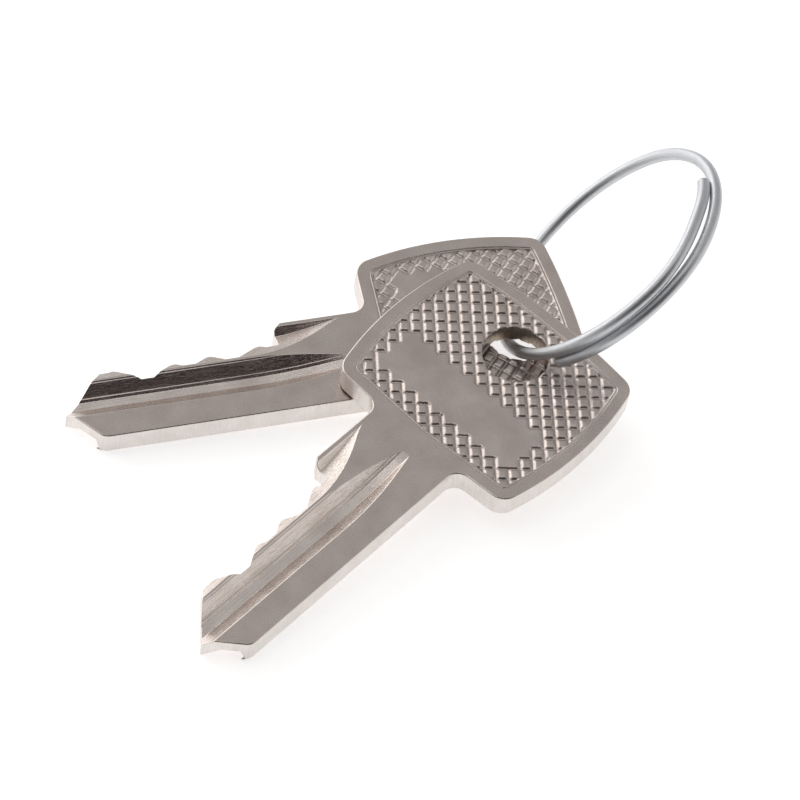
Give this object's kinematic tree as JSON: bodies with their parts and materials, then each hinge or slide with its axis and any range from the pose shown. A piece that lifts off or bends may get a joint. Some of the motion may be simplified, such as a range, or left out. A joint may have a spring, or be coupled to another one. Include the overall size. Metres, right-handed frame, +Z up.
{
  "type": "cylinder lock keys",
  "caption": "Flat cylinder-lock keys with milled blades and hatched bows, fanned out on a lapped ring of round wire.",
  "frame": {"origin": "middle of the bounding box, on the table that the keys lie on", "axes": "+X from the back key's tip to its bow, +Y from its spine to its cuts, +Z up from the table"},
  "size_m": [0.0602, 0.0434, 0.019],
  "materials": {
    "plated_key": "satin",
    "ring_wire": "gloss"
  },
  "bodies": {
    "back_key": {"back_key": "plated_key"},
    "front_key": {"front_key": "plated_key"},
    "key_ring": {"key_ring": "ring_wire"}
  },
  "joints": [
    {"name": "front_key_fan", "type": "hinge", "parent": "back_key", "child": "front_key", "pos_m": [0.00981, 0.00336, 0.00337], "axis": [-0.0244, -0.1049, 0.9942], "range_deg": [-135, 170]},
    {"name": "ring_turn", "type": "hinge", "parent": "back_key", "child": "key_ring", "pos_m": [0.01983, 0.01017, 0.0095], "axis": [-0.6402, 0.3929, 0.6601], "range_deg": [0, 150]}
  ]
}
